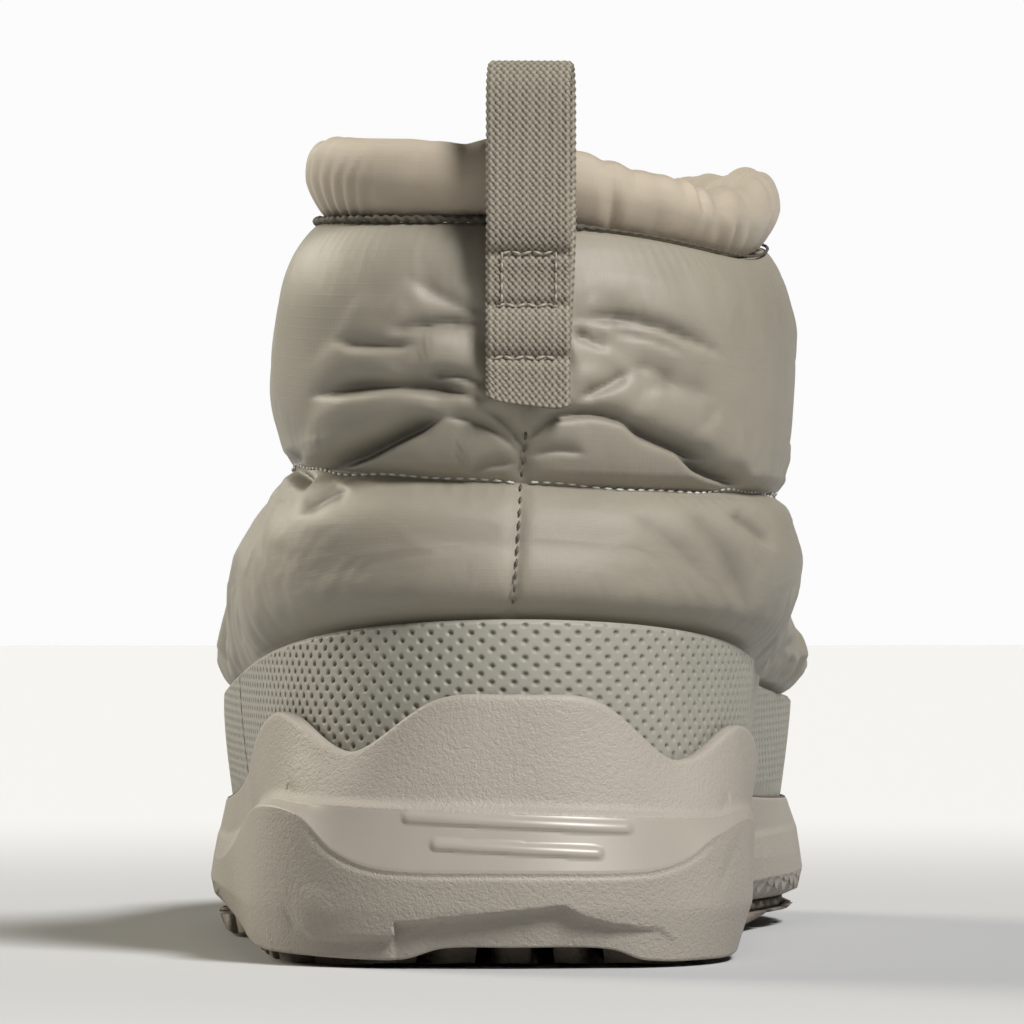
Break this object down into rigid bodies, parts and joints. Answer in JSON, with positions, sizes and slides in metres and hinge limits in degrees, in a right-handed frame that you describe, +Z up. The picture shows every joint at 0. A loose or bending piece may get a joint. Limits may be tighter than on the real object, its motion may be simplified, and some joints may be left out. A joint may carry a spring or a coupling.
{
  "type": "padded slip-on ankle boot",
  "caption": "Quilted padded slip-on ankle boot for the left foot, with a gathered collar, a webbing pull loop, a dimpled heel counter and a lugged foam cup sole.",
  "frame": {"origin": "centre of the boot's bounding box, at floor level", "axes": "+Y from the heel to the toe, +X to the inner side of the foot, +Z up"},
  "size_m": [0.1217, 0.302, 0.1648],
  "materials": {
    "tread_rubber": "matte moulded rubber, grey-brown",
    "foam": "pebbled foam with a satin band at the heel, warm grey",
    "insole_cloth": "brushed cloth",
    "nylon": "satin coated nylon shell over padding, grey-brown",
    "moulded_film": "dimpled moulded film, grey-green",
    "cuff_nylon": "matte gathered nylon, beige",
    "webbing": "woven webbing"
  },
  "bodies": {
    "root": {"outsole": "tread_rubber", "midsole": "foam", "insole": "insole_cloth", "upper": "nylon", "heel_counter": "moulded_film", "toe_rand": "moulded_film", "collar_cuff": "cuff_nylon", "pull_loop": "webbing"}
  },
  "joints": []
}
